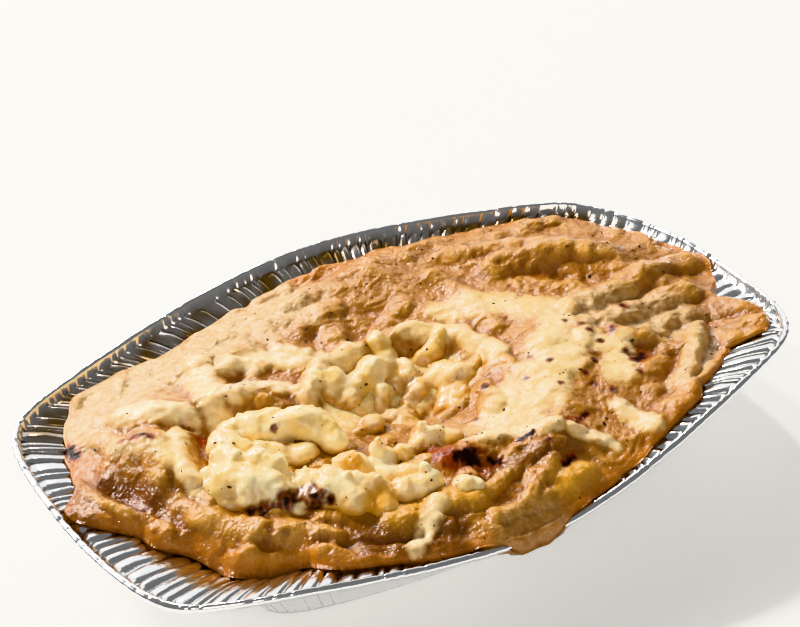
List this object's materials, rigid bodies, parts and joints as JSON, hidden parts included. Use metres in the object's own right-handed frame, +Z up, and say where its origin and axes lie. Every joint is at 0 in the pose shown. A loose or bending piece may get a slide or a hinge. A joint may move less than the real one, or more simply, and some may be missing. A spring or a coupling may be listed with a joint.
{
  "type": "cheese spaetzle gratin in foil dish",
  "caption": "Browned cheese spaetzle gratin baked in an oval-cornered pleated aluminium foil dish, with a spooned-out hollow and sauce run over the rim.",
  "frame": {"origin": "middle of the dish's flat underside", "axes": "+X along the dish towards its right end, +Y towards its far long side, +Z up"},
  "size_m": [0.2239, 0.1426, 0.0435],
  "materials": {
    "foil": "bright pressed foil, pleated, with a rolled rim",
    "gratin": "wet browned cheese crust over pale spaetzle, with char spots"
  },
  "bodies": {
    "root": {"foil_dish": "foil", "spaetzle_gratin": "gratin"}
  },
  "joints": []
}
